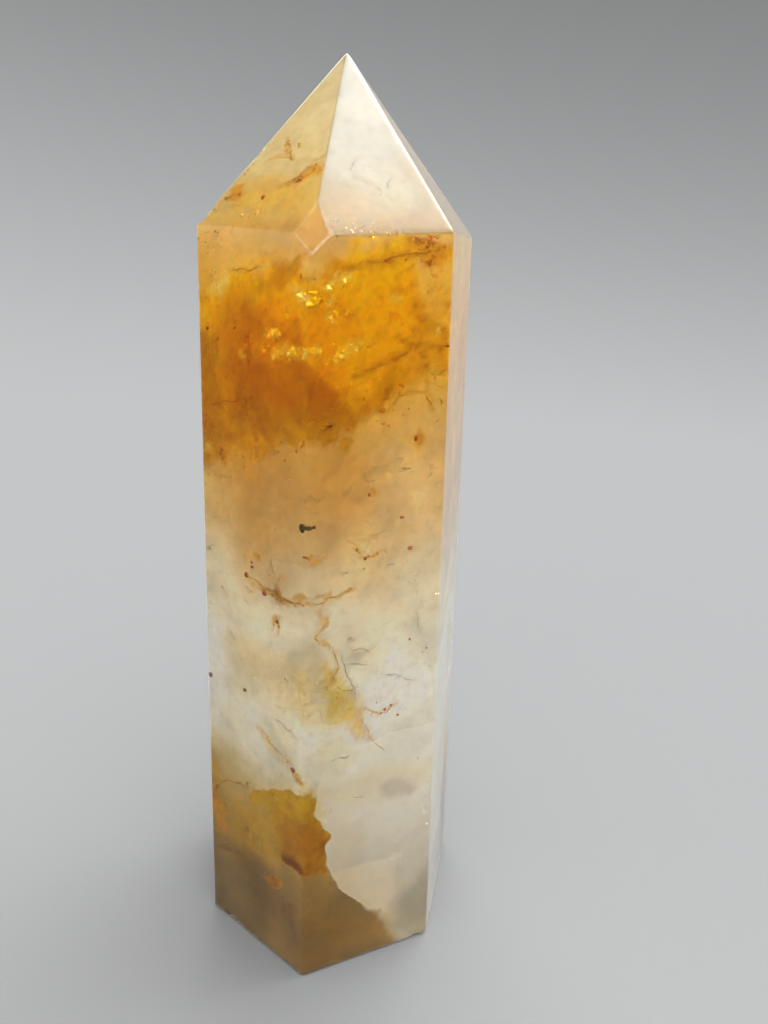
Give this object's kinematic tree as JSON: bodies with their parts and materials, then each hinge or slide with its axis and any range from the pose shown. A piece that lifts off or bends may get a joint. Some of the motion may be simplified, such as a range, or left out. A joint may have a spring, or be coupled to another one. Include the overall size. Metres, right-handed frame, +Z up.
{
  "type": "golden healer quartz tower",
  "caption": "Slim hexagonal quartz tower, ground and polished to a faceted point, see-through to milky with golden iron staining, standing on a flat ground base.",
  "frame": {"origin": "centre of the tower's bounding box on the plane of its ground base", "axes": "+Z up from the base to the tip; the front corner edge of the prism faces roughly -Y, and +X is to the viewer's right"},
  "size_m": [0.0334, 0.037, 0.11],
  "materials": {
    "golden_healer_quartz": "polished to a clear gloss; see-through to milky quartz, golden iron-oxide stain inside"
  },
  "bodies": {
    "root": {"crystal": "golden_healer_quartz"}
  },
  "joints": []
}
